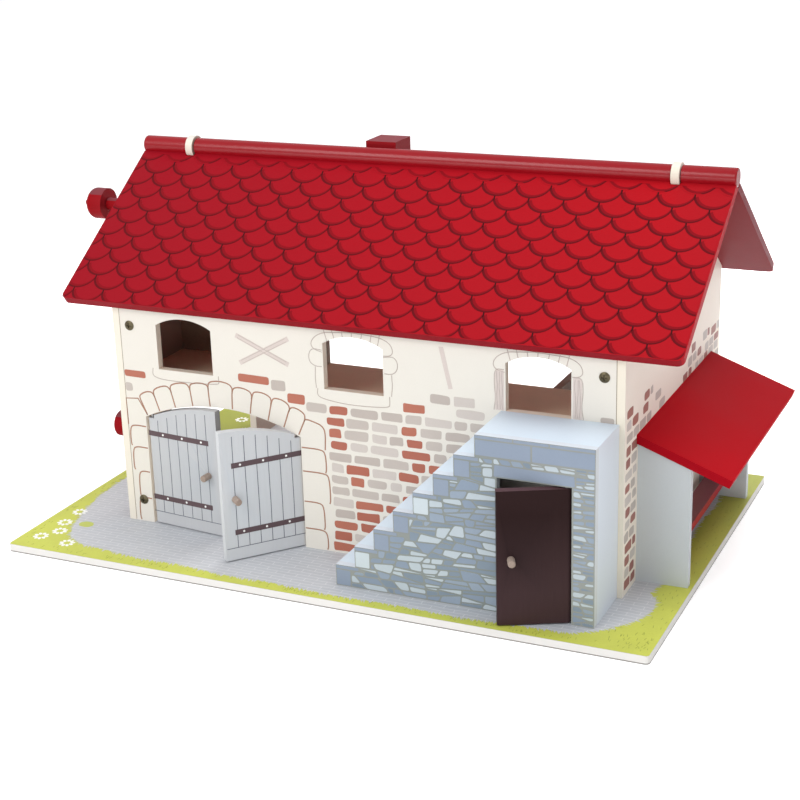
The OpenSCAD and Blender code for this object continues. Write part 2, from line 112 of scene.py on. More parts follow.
def makeLight():
    sky = {"seen": 1.0, "fill": 0.72, "tone": (0.97, 0.98, 1.0, 1)}
    aimAt = Vector((0, 0, 0.1))
    lamps = {"key": {"at": (-0.8, -1.8, 1.5), "size": 1.2, "tall": 1.2, "watts": 18.5, "mirrored": True},
             "top": {"at": (0.5, 0.3, 2.2), "size": 1.6, "tall": 1.6, "watts": 20.0, "mirrored": False},
             "strip": {"at": (0.1, -1.35, 0.09), "size": 2.2, "tall": 0.12, "watts": 3.0, "mirrored": True},
             "back": {"at": (0.0, 1.0, 0.34), "size": 0.8, "tall": 0.4, "watts": 11.0, "mirrored": False}}
    scene = bpy.context.scene
    scene.view_settings.view_transform = "Standard"
    world = bpy.data.worlds.new("studio")
    scene.world = world
    world.use_nodes = True
    tree = world.node_tree
    tree.nodes.clear()
    out = tree.nodes.new("ShaderNodeOutputWorld")
    mix = tree.nodes.new("ShaderNodeMixShader")
    seen = tree.nodes.new("ShaderNodeBackground")
    seen.inputs["Color"].default_value = (1, 1, 1, 1)
    seen.inputs["Strength"].default_value = sky["seen"]
    fill = tree.nodes.new("ShaderNodeBackground")
    fill.inputs["Color"].default_value = sky["tone"]
    fill.inputs["Strength"].default_value = sky["fill"]
    path = tree.nodes.new("ShaderNodeLightPath")
    tree.links.new(path.outputs["Is Camera Ray"], mix.inputs[0])
    tree.links.new(fill.outputs[0], mix.inputs[1])
    tree.links.new(seen.outputs[0], mix.inputs[2])
    tree.links.new(mix.outputs[0], out.inputs[0])
    for name, lamp in lamps.items():
        data = bpy.data.lights.new(name + "_light", "AREA")
        data.shape = "RECTANGLE"
        data.size = lamp["size"]
        data.size_y = lamp["tall"]
        data.energy = lamp["watts"]
        obj = bpy.data.objects.new(name + "_light", data)
        obj.location = lamp["at"]
        aim = aimAt - Vector(lamp["at"])
        obj.rotation_euler = aim.to_track_quat("-Z", "Y").to_euler()
        obj.visible_glossy = lamp["mirrored"]
        scene.collection.objects.link(obj)


makeCamera()
makeFloor()
makeLight()
print("camera, floor and light are set")


# ---- materials ----

def link(tree, a, b):
    tree.links.new(a, b)


def mathNode(tree, kind, a, b):
    node = tree.nodes.new("ShaderNodeMath")
    node.operation = kind
    for socket, value in zip(node.inputs, (a, b)):
        if isinstance(value, (int, float)):
            socket.default_value = value
        else:
            link(tree, value, socket)
    return node.outputs[0]


def scaled(tree, value, times, plus):
    out = mathNode(tree, "MULTIPLY_ADD", value, times)
    out.node.inputs[2].default_value = plus
    return out


def mixColor(tree, factor, a, b, blend="MIX"):
    node = tree.nodes.new("ShaderNodeMix")
    node.data_type = "RGBA"
    node.blend_type = blend
    for socket, value in ((node.inputs[0], factor), (node.inputs[6], a), (node.inputs[7], b)):
        if isinstance(value, (int, float, tuple)):
            socket.default_value = value
        else:
            link(tree, value, socket)
    return node.outputs[2]


def noiseNode(tree, coords, scale, stretch=(1, 1, 1), detail=3.0):
    mapping = tree.nodes.new("ShaderNodeMapping")
    mapping.inputs["Scale"].default_value = stretch
    link(tree, coords, mapping.inputs["Vector"])
    noise = tree.nodes.new("ShaderNodeTexNoise")
    noise.inputs["Scale"].default_value = scale
    noise.inputs["Detail"].default_value = detail
    link(tree, mapping.outputs[0], noise.inputs["Vector"])
    return noise.outputs["Fac"]


def facing(tree, coords, axis, least=0.7):
    dot = tree.nodes.new("ShaderNodeVectorMath")
    dot.operation = "DOT_PRODUCT"
    dot.inputs[1].default_value = axis
    link(tree, coords.outputs["Normal"], dot.inputs[0])
    return mathNode(tree, "GREATER_THAN", dot.outputs["Value"], least)


def paved(tree, coords, base):
    # fine pale joints of a pavement, drawn by hand
    setts = {"Scale": 1.0, "Mortar Size": 0.00035, "Mortar Smooth": 0.6, "Brick Width": 0.017,
             "Row Height": 0.0042, "Bias": 0.0}
    wobbling = {"scale": 60.0, "amount": 0.0025}
    darker = 0.94
    joint = (214, 216, 220)
    warp = tree.nodes.new("ShaderNodeTexNoise")
    warp.inputs["Scale"].default_value = wobbling["scale"]
    link(tree, coords.outputs["Object"], warp.inputs["Vector"])
    shift = mixColor(tree, wobbling["amount"], coords.outputs["Object"], warp.outputs["Color"], "ADD")
    bricks = tree.nodes.new("ShaderNodeTexBrick")
    for socket, value in setts.items():
        bricks.inputs[socket].default_value = value
    bricks.inputs["Color1"].default_value = base
    bricks.inputs["Color2"].default_value = tuple(c * darker for c in base[:3]) + (1,)
    bricks.inputs["Mortar"].default_value = srgb(*joint)
    link(tree, shift, bricks.inputs["Vector"])
    return bricks.outputs["Color"]


usual = {"patchScale": 22.0, "speckleScale": 650.0, "stretch": (1, 1, 1), "vary": 0.1, "grain": 0.08,
         "wear": 0.25, "worn": (225, 215, 205), "rough": 0.5, "shine": 0.3, "metallic": 0.0, "bump": 0.15}
wearFrom = 0.505
wearTo = 0.62
roughSpread = 0.14
bumpDepth = 0.0004


def makeMaterial(name, given):
    look = {**usual, **given}
    mat = bpy.data.materials.new(name)
    mat.use_nodes = True
    tree = mat.node_tree
    bsdf = tree.nodes["Principled BSDF"]
    coords = tree.nodes.new("ShaderNodeTexCoord")
    place = coords.outputs["Object"]
    color = srgb(*look["color"])
    if "islands" in look:
        geometry = tree.nodes.new("ShaderNodeNewGeometry")
        ramp = tree.nodes.new("ShaderNodeValToRGB")
        ramp.color_ramp.interpolation = "CONSTANT"
        stops = ramp.color_ramp.elements
        while len(stops) < len(look["islands"]):
            stops.new(0.5)
        for stop, (start, tone) in zip(stops, look["islands"]):
            stop.position = start
            stop.color = srgb(*tone)
        link(tree, geometry.outputs["Random Per Island"], ramp.inputs[0])
        color = ramp.outputs["Color"]
    if look.get("paved"):
        color = paved(tree, coords, color)
    # painted shade: the colour shifts to another tone along one axis
    if "fade" in look:
        axis, start, end, tone = look["fade"]
        parts = tree.nodes.new("ShaderNodeSeparateXYZ")
        link(tree, place, parts.inputs[0])
        reach = tree.nodes.new("ShaderNodeMapRange")
        reach.inputs["From Min"].default_value = start
        reach.inputs["From Max"].default_value = end
        link(tree, parts.outputs[axis], reach.inputs["Value"])
        color = mixColor(tree, reach.outputs[0], color, srgb(*tone))
    for axis, tone in look.get("faces", ()):
        color = mixColor(tree, facing(tree, coords, axis), color, srgb(*tone))
    # painted contact shadow: a dark band along the bottom of the piece, below the given height
    if "foot" in look:
        height, tone = look["foot"]
        split = tree.nodes.new("ShaderNodeSeparateXYZ")
        link(tree, place, split.inputs[0])
        color = mixColor(tree, mathNode(tree, "LESS_THAN", split.outputs["Z"], height), color, srgb(*tone))
    patches = noiseNode(tree, place, look["patchScale"], look["stretch"])
    speckle = noiseNode(tree, place, look["speckleScale"], look["stretch"], 6.0)
    shade = scaled(tree, patches, look["vary"] * 2.0, 1.0 - look["vary"])
    grain = scaled(tree, speckle, look["grain"] * 2.0, 1.0 - look["grain"])
    both = mathNode(tree, "MULTIPLY", shade, grain)
    color = mixColor(tree, 1.0, color, both, "MULTIPLY")
    wear = tree.nodes.new("ShaderNodeNewGeometry")
    edge = tree.nodes.new("ShaderNodeMapRange")
    for socket, value in (("From Min", wearFrom), ("From Max", wearTo), ("To Max", look["wear"])):
        edge.inputs[socket].default_value = value
    link(tree, wear.outputs["Pointiness"], edge.inputs["Value"])
    color = mixColor(tree, edge.outputs[0], color, srgb(*look["worn"]))
    link(tree, color, bsdf.inputs["Base Color"])
    rough = scaled(tree, patches, roughSpread, look["rough"] - roughSpread / 2)
    link(tree, rough, bsdf.inputs["Roughness"])
    bsdf.inputs["Metallic"].default_value = look["metallic"]
    bsdf.inputs["Specular IOR Level"].default_value = look["shine"]
    bump = tree.nodes.new("ShaderNodeBump")
    bump.inputs["Strength"].default_value = look["bump"]
    bump.inputs["Distance"].default_value = bumpDepth
    link(tree, speckle, bump.inputs["Height"])
    link(tree, bump.outputs[0], bsdf.inputs["Normal"])
    return mat


upright = (1, 1, 0.06)
reveal = (236, 222, 202)
looks = {
    # painted shade: downward faces, the soffits of the arch and window heads, are darker brown
    "plaster": {"color": (224, 220, 210), "vary": 0.025, "grain": 0.02, "rough": 0.5, "bump": 0.08,
                "faces": [((0, 1, 0), (150, 120, 100)), ((1, 0, 0), reveal), ((-1, 0, 0), reveal),
                          ((0, 0, 1), reveal), ((0, 0, -1), (128, 110, 92))]},
    "plaster_left": {"color": (226, 221, 211), "vary": 0.025, "grain": 0.02, "rough": 0.5, "bump": 0.08,
                     "faces": [((1, 0, 0), (128, 98, 82)), ((0, -1, 0), (233, 226, 210))]},
    "plaster_right": {"color": (240, 230, 216), "vary": 0.025, "grain": 0.02, "rough": 0.5, "bump": 0.08,
                      "faces": [((-1, 0, 0), (128, 98, 82)), ((0, -1, 0), (233, 225, 206))]},
    "base": {"color": (186, 191, 198), "vary": 0.03, "grain": 0.03, "rough": 0.5, "paved": True,
             "faces": [((0, -1, 0), (222, 221, 218)), ((1, 0, 0), (214, 213, 208)),
                       ((-1, 0, 0), (222, 221, 218)), ((0, 1, 0), (215, 215, 215)),
                       ((0, 0, -1), (170, 140, 115))],
             # painted contact shadow: a dark grey line along the board's bottom edge
             "foot": (0.0009, (112, 110, 108))},
    "raw_board": {"color": (232, 200, 164), "vary": 0.1, "grain": 0.14, "rough": 0.75, "speckleScale": 1100.0,
                  "bump": 0.3},
    "raw_wood": {"color": (190, 158, 128), "vary": 0.12, "grain": 0.16, "rough": 0.65, "stretch": upright,
                 "bump": 0.35},
    "knob_wood": {"color": (154, 136, 124), "vary": 0.12, "grain": 0.25, "rough": 0.6, "bump": 0.4},
    "stained": {"color": (150, 122, 102), "vary": 0.15, "grain": 0.15, "rough": 0.6, "worn": (120, 95, 80),
                "bump": 0.25},
    "red": {"color": (143, 2, 16), "vary": 0.08, "grain": 0.04, "rough": 0.23, "shine": 0.36,
            "worn": (176, 40, 50)},
    # painted shade: the roof top is darker at its left end and lighter towards the right
    "tile_top": {"color": (146, 2, 24), "vary": 0.06, "grain": 0.03, "rough": 0.5, "shine": 0.1,
                 "fade": ("X", -0.25, 0.2, (176, 8, 22)), "worn": (150, 24, 34), "wear": 0.4,
                 "faces": [((0, -math.cos(roofSlope), -math.sin(roofSlope)), (132, 16, 28)),
                           ((1, 0, 0), (176, 6, 22)), ((-1, 0, 0), (140, 12, 24)),
                           ((0, math.sin(roofSlope), -math.cos(roofSlope)), (150, 14, 26))]},
    # painted shade and reflection: the underside is a dull, greyed red
    "rear_top": {"color": (160, 8, 22), "vary": 0.07, "grain": 0.04, "rough": 0.45, "shine": 0.1,
                 "worn": (120, 24, 34),
                 "faces": [((0, -math.sin(rearSlope), -math.cos(rearSlope)), (132, 42, 48)),
                           ((1, 0, 0), (112, 8, 26)), ((-1, 0, 0), (112, 8, 26))]},
    # painted shade: the lean-to roof darkens towards the back, and its underside is a dull greyed red
    # standing in for shade and reflection
    "lean_top": {"color": (182, 4, 20), "vary": 0.05, "grain": 0.03, "rough": 0.6, "shine": 0.03,
                 "fade": ("Y", -0.05, 0.14, (158, 8, 20)), "worn": (150, 16, 28),
                 "faces": [((0, 0, -1), (120, 34, 40)), ((0, -1, 0), (160, 8, 24))]},
    # painted reflection: top faces are greyed; painted shade: faces towards +x are darker
    "dark_red": {"color": (146, 5, 16), "vary": 0.1, "grain": 0.05, "rough": 0.5, "shine": 0.06,
                 "worn": (150, 50, 56), "faces": [((0, 0, 1), (124, 62, 68)), ((1, 0, 0), (112, 6, 16))]},
    # painted shade and reflection: the manger's top face is a dull purple grey
    "feed_red": {"color": (132, 12, 24), "vary": 0.1, "grain": 0.05, "rough": 0.4, "shine": 0.3,
                 "worn": (170, 30, 44), "faces": [((0, 0, 1), (112, 62, 70)), ((1, 0, 0), (178, 4, 34))]},
    "door_grey": {"color": (196, 203, 210), "vary": 0.04, "grain": 0.05, "rough": 0.5, "stretch": upright,
                  "faces": [((0, 1, 0), (150, 120, 100))]},
    # painted shade: the left leaf is a darker copy of door_grey, and its free edge towards the right leaf is
    # darker still
    "door_shaded": {"color": (174, 180, 187), "vary": 0.04, "grain": 0.05, "rough": 0.5, "stretch": upright,
                    "faces": [((0, 1, 0), (150, 120, 100)), ((1, 0, 0), (104, 112, 118))]},
    # painted light: the top faces are paler and bluer
    "stair_grey": {"color": (206, 219, 233), "vary": 0.03, "grain": 0.03, "rough": 0.4,
                   "faces": [((0, 0, 1), (208, 230, 248))]},
    "panel_grey": {"color": (178, 190, 198), "vary": 0.03, "grain": 0.03, "rough": 0.42},
    "mortar": {"color": (98, 114, 114), "vary": 0.05, "grain": 0.05, "rough": 0.5,
               "faces": [((1, 0, 0), (200, 209, 217)), ((0, 0, 1), (208, 222, 236)),
                         ((-1, 0, 0), (196, 204, 211)), ((0, 1, 0), (150, 120, 100))]},
    # painted shade: the cellar door darkens towards its top, under the lintel
    "brown": {"color": (56, 42, 44), "vary": 0.1, "grain": 0.1, "rough": 0.34, "shine": 0.05,
              "stretch": upright, "fade": ("Z", 0.03, 0.085, (14, 3, 3)), "worn": (84, 60, 60),
              "faces": [((0, 0, 1), (92, 66, 70))]},
    "bronze": {"color": (92, 84, 66), "vary": 0.2, "grain": 0.25, "rough": 0.38, "metallic": 0.9,
               "worn": (150, 140, 110)},
    "steel": {"color": (150, 150, 150), "vary": 0.1, "grain": 0.1, "rough": 0.3, "metallic": 1.0}}
mats = {name: makeMaterial(name, look) for name, look in looks.items()}

wearing = {
    "plaster": ["front_wall"], "plaster_left": ["left_gable"], "plaster_right": ["right_gable"],
    "base": ["base_board"], "raw_board": ["loft_floor"],
    "raw_wood": ["left_post", "right_post", "floor_battens"],
    "knob_wood": ["left_door_knob", "right_door_knob", "cellar_door_knob"],
    "stained": ["loft_back_wall", "stall_partition"],
    "red": ["ridge_pole", "left_ridge_end", "right_ridge_end"], "tile_top": ["front_roof"],
    "rear_top": ["rear_roof"], "lean_top": ["lean_to_roof"], "feed_red": ["manger"],
    "dark_red": ["chimney", "hoist_arm", "hoist_wheel", "hoist_spindle", "winch_drum", "winch_spindle"],
    "door_grey": ["right_door"], "door_shaded": ["left_door"],
    "stair_grey": ["stair_treads", "stair_risers", "stair_landing", "stair_side"],
    "panel_grey": ["lean_to_front_panel", "lean_to_rear_panel"],
    "mortar": ["stair_front"], "brown": ["cellar_door"], "bronze": ["wall_screws"],
    "steel": ["left_door_pins", "right_door_pins", "cellar_door_pins"]}
for look, names in wearing.items():
    for name in names:
        nodes[name].data.materials.clear()
        nodes[name].data.materials.append(mats[look])
print("materials are set")


# ---- printed drawing: flat shapes and pen strokes on the boards ----

def sheetAt(place, u, v):
    n = u.cross(v)
    turn = Matrix((u, v, n)).transposed().to_4x4()
    return Matrix.Translation(place) @ turn


def turnedSheet(hinge, degrees):
    a = math.radians(degrees)
    u = Vector((math.cos(a), math.sin(a), 0))
    return sheetAt(hinge + u.cross(zAxis) * (board / 2), u, zAxis)


frontWall = sheetAt(barn(0, 0, 0), xAxis, zAxis)
stairWall = sheetAt(barn(0, stairFront, 0), xAxis, zAxis)
rightWall = sheetAt(barn(barnLen, 0, 0), yAxis, zAxis)
leftWall = sheetAt(barn(0, 0, 0), -yAxis, zAxis)
ground = sheetAt(barn(0, 0, 0), xAxis, yAxis)
eaveHeight = wallHeight + roofTop / math.cos(roofSlope) - eaveOut * math.tan(roofSlope)
upRoof = Vector((0, math.cos(roofSlope), math.sin(roofSlope)))
roofSheet = sheetAt(barn(0, -eaveOut, eaveHeight), xAxis, upRoof)
leaves = {"left": {"pin": (26.6, 3, 0), "turned": -6}, "right": {"pin": (151.0, 3, 0), "turned": 50}}
leftLeaf = turnedSheet(barn(*leaves["left"]["pin"]), leaves["left"]["turned"])
rightLeaf = turnedSheet(barn(*leaves["right"]["pin"]), leaves["right"]["turned"])


def soften(points, closed, rounds=2):
    for _ in range(rounds):
        out = [] if closed else [points[0]]
        count = len(points)
        for i in range(count if closed else count - 1):
            a = points[i]
            b = points[(i + 1) % count]
            out.append((a[0] * 0.75 + b[0] * 0.25, a[1] * 0.75 + b[1] * 0.25))
            out.append((a[0] * 0.25 + b[0] * 0.75, a[1] * 0.25 + b[1] * 0.75))
        if not closed:
            out.append(points[-1])
        points = out
    return points


def addSpline(curve, points, closed):
    spline = curve.splines.new("POLY")
    spline.points.add(len(points) - 1)
    for point, (u, v) in zip(spline.points, points):
        point.co = (u, v, 0, 1)
    spline.use_cyclic_u = closed


def layDown(curve, name, sheet, flatten, lift, body, mat):
    drawn = bpy.data.objects.new(name + "_drawn", curve)
    bpy.context.scene.collection.objects.link(drawn)
    bpy.context.view_layer.update()
    mesh = bpy.data.meshes.new_from_object(drawn.evaluated_get(bpy.context.evaluated_depsgraph_get()))
    bpy.data.objects.remove(drawn)
    mesh.name = name
    mesh.transform(toMetres @ sheet @ Matrix.Translation((0, 0, lift)) @ Matrix.Diagonal((1, 1, flatten, 1)))
    mesh.materials.clear()
    mesh.materials.append(mat)
    piece = bpy.data.objects.new(name, mesh)
    bpy.context.scene.collection.objects.link(piece)
    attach(piece, body)


printDepth = 0.1
strokeDepth = 0.16


def printShapes(name, loops, sheet, mat, body="barn", lift=0.04):
    curve = bpy.data.curves.new(name, "CURVE")
    curve.dimensions = "2D"
    curve.fill_mode = "BOTH"
    curve.extrude = printDepth / 2
    for loop in loops:
        addSpline(curve, loop, True)
    layDown(curve, name, sheet, 1.0, lift, body, mat)


def printStrokes(name, strokes, sheet, mat, width=0.9, body="barn", lift=0.03):
    curve = bpy.data.curves.new(name, "CURVE")
    curve.dimensions = "3D"
    curve.bevel_depth = width / 2
    curve.bevel_resolution = 1
    curve.use_fill_caps = True
    for points, closed in strokes:
        addSpline(curve, points, closed)
    layDown(curve, name, sheet, strokeDepth / width, lift, body, mat)


def wobble(points, amount, rng):
    return [(u + rng.uniform(-amount, amount), v + rng.uniform(-amount, amount)) for u, v in points]


def boxLoop(u0, v0, u1, v1):
    return [(u0, v0), (u1, v0), (u1, v1), (u0, v1)]


def inkLook(tone, **more):
    return {"color": tone, "vary": 0.06, "grain": 0.04, "rough": 0.5, "worn": tone, "bump": 0.05, **more}


inks = {
    "groove_ink": inkLook((98, 8, 18), shine=0.1),
    "tile_shade": inkLook((132, 6, 20), shine=0.1),
    "tick_ink": inkLook((64, 12, 18), shine=0.1),
    "outline_ink": inkLook((168, 124, 102), vary=0.12),
    "pale_outline": inkLook((182, 168, 160), vary=0.12),
    "joint_line": inkLook((150, 134, 116)),
    "red_brick_ink": inkLook((170, 100, 82), islands=[(0.0, (170, 100, 82)), (0.5, (178, 109, 89))]),
    "pale_brick_ink": inkLook((189, 179, 171), islands=[(0.0, (189, 179, 171)), (0.4, (182, 171, 163)),
                                                        (0.7, (203, 194, 187))]),
    "shaded_brick_ink": inkLook((150, 96, 86), islands=[(0.0, (150, 96, 86)), (0.5, (158, 106, 94))]),
    "timber_ink": inkLook((208, 196, 189), grain=0.08),
    "rubble_ink": inkLook((134, 148, 165), islands=[(0.0, (134, 148, 165)), (0.28, (194, 204, 208)),
                                                    (0.6, (124, 138, 150)), (0.82, (146, 159, 174))]),
    "block_ink": inkLook((138, 150, 167)),
    "pale_block_ink": inkLook((194, 204, 209)),
    "plank_ink": inkLook((104, 108, 118)),
    "strap_ink": inkLook((92, 74, 78)),
    "white_ink": inkLook((246, 246, 242), vary=0.02),
    # painted shade: the grass turns a darker olive towards the back, where the barn shades the yard
    "grass_ink": inkLook((198, 203, 88), vary=0.1, grain=0.08, patchScale=60.0,
                         fade=("Y", -0.04, 0.12, (150, 154, 64))),
    "spot_ink": inkLook((190, 198, 100), vary=0.1, grain=0.08, patchScale=60.0),
    "blade_ink": inkLook((150, 158, 62), vary=0.1)}
ink = {name: makeMaterial(name, look) for name, look in inks.items()}


def drawTiles():
    # fish-scale tiles, with a crescent of shade that is wider on the left; arcs are (further out, du, dv)
    tiles = {"region": (-39.4, 0.6, 439.4, 153.8), "first": (164.2, 160.0), "step": 26.27, "rise": 13.5,
             "sag": 0.75, "pieces": 14, "groove": ((0.6, 0, 0), (-0.7, 0.4, 0.1)),
             "shade": ((-0.5, 0.3, 0.1), (-1.6, 1.0, 1.0)), "least": (3.0, 2.0), "tick": 0.28,
             "tickWidth": 1.1}
    step = tiles["step"]
    rise = tiles["rise"]
    half = step / 2
    sag = rise * tiles["sag"]
    radius = (half * half + sag * sag) / (2 * sag)
    sweep = math.asin(min(1.0, half / radius))
    u0, v0, u1, v1 = tiles["region"]

    def arc(u, tip, further, du, dv):
        points = []
        for i in range(tiles["pieces"] + 1):
            a = -sweep + 2 * sweep * i / tiles["pieces"]
            across = u + du + (radius + further) * math.sin(a)
            up = tip + dv + radius - (radius + further) * math.cos(a)
            points.append((min(max(across, u0), u1), min(max(up, v0), v1)))
        return points

    drawn = {"groove": [], "shade": []}
    ticks = []
    row = 0
    tip = tiles["first"][1]
    while tip > v0 - rise:
        u = tiles["first"][0] + (half if row % 2 else 0)
        while u > u0 + half:
            u -= step
        while u < u1 + half:
            for kind, shapes in drawn.items():
                outer, inner = tiles[kind]
                shape = arc(u, tip, *outer) + arc(u, tip, *inner)[::-1]
                wide = max(p[0] for p in shape) - min(p[0] for p in shape)
                tall = max(p[1] for p in shape) - min(p[1] for p in shape)
                if wide > tiles["least"][0] and tall > tiles["least"][1]:
                    shapes.append(shape)
            if u0 + 1 < u < u1 - 1 and tip - 0.25 * rise > v0 and tip < v1 - 1:
                ticks.append(([(u - 0.1, tip - 0.3), (u + 0.3, tip - tiles["tick"] * rise)], False))
            u += step
        row += 1
        tip -= rise
    printShapes("front_tiles_grooves", drawn["groove"], roofSheet, ink["groove_ink"], "lid")
    printShapes("front_tiles_shade", drawn["shade"], roofSheet, ink["tile_shade"], "lid", 0.03)
    printStrokes("front_tiles_ticks", ticks, roofSheet, ink["tick_ink"], tiles["tickWidth"],
                 "lid", 0.06)


drawTiles()
print("tiles are drawn")


# ---- front wall print ----

arch = {"mid": 88.8, "half": 66.4, "rise": 14.7, "side": 87.5}
archRadius = (arch["half"] ** 2 + arch["rise"] ** 2) / (2 * arch["rise"])
archCenter = arch["side"] + arch["rise"] - archRadius


def archPoint(x, out, mid):
    # a point above the doorway's edge, pushed out from the arch
    edge = archCenter + math.sqrt(archRadius ** 2 - (x - mid) ** 2)
    length = math.hypot(x - mid, edge - archCenter)
    push = (length + out) / length
    return (mid + (x - mid) * push, archCenter + (edge - archCenter) * push)


def doorwayStones(name, sheet, mid):
    # joints lie on the arch, corners and piers are measured from its middle; piers are (top, far, near)
    stones = {"joints": [-64.6, -53.1, -39.0, -23.5, -8.6, 10.2, 25.2, 39.8, 52.8, 64.6],
              "tall": [17.0, 18.0, 18.5, 18.0, 20.0, 18.0, 19.0, 19.5, 18.5],
              "rightCorner": [(79.0, 100.5), (84.5, 98.5), (87.0, 94.0), (86.2, 80.0)],
              "leftCorner": [(-64.6, 88.8), (-72.3, 101.4), (-83.0, 100.4), (-82.7, 79.4)],
              "piers": {-1: [(79.4, -81.4, -67.0), (61.8, -80.5, -67.0), (42.0, -77.0, -67.0),
                             (20.0, -78.5, -67.0)],
                        1: [(80.0, 86.2, 67.0), (61.5, 88.5, 67.0), (37.5, 83.0, 67.0), (16.0, 85.0, 67.0)]},
              "lineWidth": 1.05}
    rng = random.Random(5)
    joints = stones["joints"]
    strokes = []
    for i, reach in enumerate(stones["tall"]):
        a = joints[i] + mid
        b = joints[i + 1] + mid
        line = [archPoint(a, 0.5, mid), archPoint(a, reach * 0.45, mid), archPoint(a, reach * 0.86, mid)]
        for t, push in ((0.12, 0.0), (0.5, 0.9), (0.88, 0.0)):
            line.append(archPoint(a + (b - a) * t, reach + push, mid))
        line += [archPoint(b, reach * 0.84, mid), archPoint(b, reach * 0.7, mid)]
        strokes.append((soften(wobble(line, 0.25, rng), False), False))
    line = [archPoint(joints[-1] + mid, out, mid) for out in (1.0, 12.0, 15.5)]
    line += [(mid + u, v) for u, v in stones["rightCorner"]]
    strokes.append((soften(line, False), False))
    strokes.append((wobble([(mid + u, v) for u, v in stones["leftCorner"]], 0.2, rng), False))
    for side, rows in stones["piers"].items():
        lows = [row[0] for row in rows[1:]] + [0.4]
        for (top, far, near), low in zip(rows, lows):
            line = [(mid + near, top - 0.3), (mid + far - side * 3, top), (mid + far, top - 3),
                    (mid + far + side * 0.4, low + 3), (mid + far - side * 0.5, low + 0.4)]
            strokes.append((soften(line, False), False))
    printStrokes(name, strokes, sheet, ink["outline_ink"], stones["lineWidth"])


doorwayStones("front_arch_stones", frontWall, arch["mid"])
doorwayStones("gable_arch_stones", leftWall, -barnDepth / 2)


def brickRows(rows, rng, long=(9.0, 22.0)):
    # rows are (height, start, end)
    brick = {"tall": (5.9, 7.0), "gap": (1.9, 3.2), "start": (0, 3), "shortest": 6, "uneven": 0.45,
             "round": (1.2, 2.6)}
    out = []
    for z, u0, u1 in rows:
        u = u0 + rng.uniform(*brick["start"])
        while u < u1 - brick["shortest"]:
            length = min(rng.uniform(*long), u1 - u)
            half = rng.uniform(*brick["tall"]) / 2
            middle = (u + u + length) / 2
            corners = [(u, z - half), (middle, z - half), (u + length, z - half),
                       (u + length, z + half), (middle, z + half), (u, z + half)]
            out.append(roundLoop(wobble(corners, brick["uneven"], rng), rng.uniform(*brick["round"])))
            u += length + rng.uniform(*brick["gap"])
    return out


def roundLoop(points, radius):
    out = []
    count = len(points)
    for i in range(count):
        before = Vector(points[i - 1])
        here = Vector(points[i])
        after = Vector(points[(i + 1) % count])
        a = (before - here).normalized() * min(radius, (before - here).length * 0.4)
        b = (after - here).normalized() * min(radius, (after - here).length * 0.4)
        for t in (0.0, 0.35, 0.65, 1.0):
            p = here + a * (1 - t) ** 2 + b * t ** 2
            out.append((p.x, p.y))
    return out


def printBricks(name, loops, reds, sheet, redInk):
    printShapes(name + "_red", [b for b, red in zip(loops, reds) if red], sheet, ink[redInk])
    printShapes(name + "_pale", [b for b, red in zip(loops, reds) if not red], sheet, ink["pale_brick_ink"])


def drawFrontBricks():
    wall = {"low": 5.0, "step": 8.9, "red": 0.36, "rows": 13, "right": 302.0, "stairLeft": 205.3,
            "stairSlope": 15.28 / 15.875, "lefts": {11: 176.5, 12: 161.0}, "left": 178.5,
            "upper": [(120.6, 238.0, 257.0), (121.0, 276.0, 300.0), (129.4, 257.0, 300.0)],
            "strays": ((6.5, 118.4, 25.0, 124.0, True), (6.5, 107.0, 12.5, 113.6, False),
                       (106.0, 124.8, 131.5, 131.0, True), (133.5, 121.6, 144.8, 129.5, False),
                       (146.0, 113.0, 160.2, 120.8, True), (383.2, 125.0, 392.4, 130.2, False))}
    rng = random.Random(21)
    rows = []
    for i in range(wall["rows"]):
        z = wall["low"] + wall["step"] * i
        stairEdge = wall["stairLeft"] + wall["stairSlope"] * z
        rows.append((z, wall["lefts"].get(i, wall["left"]), min(stairEdge + 5, wall["right"])))
    loops = brickRows(rows + wall["upper"], rng)
    reds = [rng.random() < wall["red"] for _ in loops]
    for u0, v0, u1, v1, red in wall["strays"]:
        loops.append(roundLoop(wobble(boxLoop(u0, v0, u1, v1), 0.5, rng), 1.8))
        reds.append(red)
    printBricks("front_bricks", loops, reds, frontWall, "red_brick_ink")


def drawGableBricks(name, sheet, sign):
    # the left gable gets the front corner's rows only, seen from its other side
    gable = {"low": 7.4, "step": 8.9, "rows": 11, "red": 0.48, "long": (9.0, 15.0), "doorway": 62,
             "upper": [(132.0, 3, 24), (132.0, 42, 66), (123.1, 2, 36), (123.1, 40, 60), (123.1, 72, 94),
                       (114.2, 2, 64), (114.2, 80, 100), (105.3, 2, 54)],
             "rear": [(129.6, 168, 186), (129.6, 202, 222), (127.0, 226, 253), (121.4, 158, 204),
                      (119.0, 208, 253), (113.0, 146, 170), (112.0, 180, 253), (103.6, 224, 253)]}
    rng = random.Random(33)
    heights = [gable["low"] + gable["step"] * i for i in range(gable["rows"])]
    rows = [(z, 2, 28) for z in heights] + [(z, 222 + 2 * (i % 3), 252) for i, z in enumerate(heights)]
    if sign > 0:
        rows += gable["upper"] + gable["rear"]
    else:
        rows += [row for row in gable["upper"] if row[2] < gable["doorway"]]
        rows = [(z, -b, -a) for z, a, b in rows]
    loops = brickRows(rows, rng, gable["long"])
    reds = [rng.random() < gable["red"] for _ in loops]
    printBricks(name, loops, reds, sheet, "shaded_brick_ink" if sign > 0 else "red_brick_ink")


